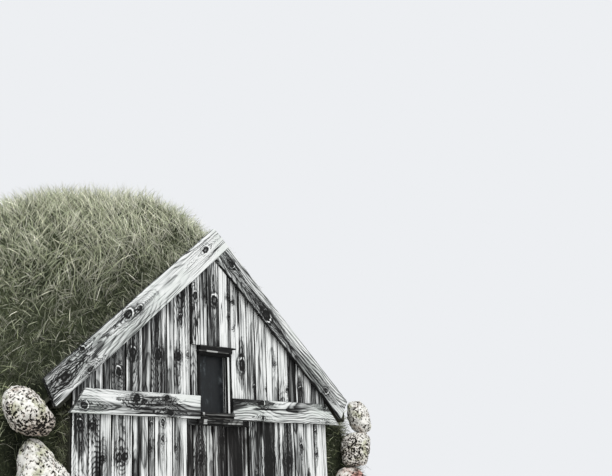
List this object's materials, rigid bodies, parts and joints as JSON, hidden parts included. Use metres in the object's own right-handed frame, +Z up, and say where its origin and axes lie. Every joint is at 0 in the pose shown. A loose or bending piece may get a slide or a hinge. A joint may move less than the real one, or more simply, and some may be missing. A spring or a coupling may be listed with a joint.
{
  "type": "turf house",
  "caption": "Small turf house: a loaf-shaped turf mound over one rafter-roofed room, with a weathered board gable, a small window and a hinged plank door.",
  "frame": {"origin": "centre of the bounding box, on the ground", "axes": "+Z up, +Y from the timber gable to the back along the ridge, +X to the right seen from the front"},
  "size_m": [6.2966, 6.683, 3.889],
  "materials": {
    "turf": "living turf with long tousled grass",
    "boulder_stone": "lichen-crusted rough boulder",
    "wall_boards": "silvered softwood boards with dark knots and checks",
    "trim_boards": "silvered softwood, deep weathered grain",
    "dark_boards": "dark damp weathered wood",
    "door_planks": "dark weathered planks",
    "frame_timber": "rough sawn brown timber",
    "pane_glass": "old dusty window glass",
    "old_iron": "rusted wrought iron"
  },
  "bodies": {
    "house": {"turf_wall_left": "turf", "turf_wall_right": "turf", "turf_back": "turf", "turf_roof_left": "turf", "turf_roof_right": "turf", "verge_sods_left": "turf", "verge_sods_right": "turf", "boulders_left": "boulder_stone", "boulders_right": "boulder_stone", "boards_lower_left": "wall_boards", "boards_lower_right": "wall_boards", "boards_over_door": "wall_boards", "boards_gable_left": "wall_boards", "boards_gable_right": "wall_boards", "panel_over_window": "wall_boards", "bargeboard_left": "trim_boards", "bargeboard_right": "trim_boards", "band_left": "trim_boards", "band_right": "trim_boards", "window_hood": "dark_boards", "window_head": "trim_boards", "window_jambs": "trim_boards", "window_sill": "dark_boards", "window_ledge": "dark_boards", "window_pane": "pane_glass", "door_jamb_left": "frame_timber", "door_jamb_right": "frame_timber", "door_lintel": "frame_timber", "threshold": "frame_timber", "door_pintles": "old_iron", "corner_post_left": "frame_timber", "corner_post_right": "frame_timber", "wall_posts": "frame_timber", "wall_plate_left": "frame_timber", "wall_plate_right": "frame_timber", "ridge_board": "frame_timber", "rafters_outer": "frame_timber", "rafters_inner": "frame_timber", "collars": "frame_timber", "roof_boarding_left": "frame_timber", "roof_boarding_right": "frame_timber"},
    "door": {"door_leaf": "door_planks", "door_ledges": "door_planks", "door_straps": "old_iron", "door_pull": "door_planks"}
  },
  "joints": [
    {"name": "door_hinge", "type": "hinge", "parent": "house", "child": "door", "pos_m": [-0.283, -3.058, 0.9], "axis": [0, 0, 1], "range_deg": [0, 100]}
  ]
}
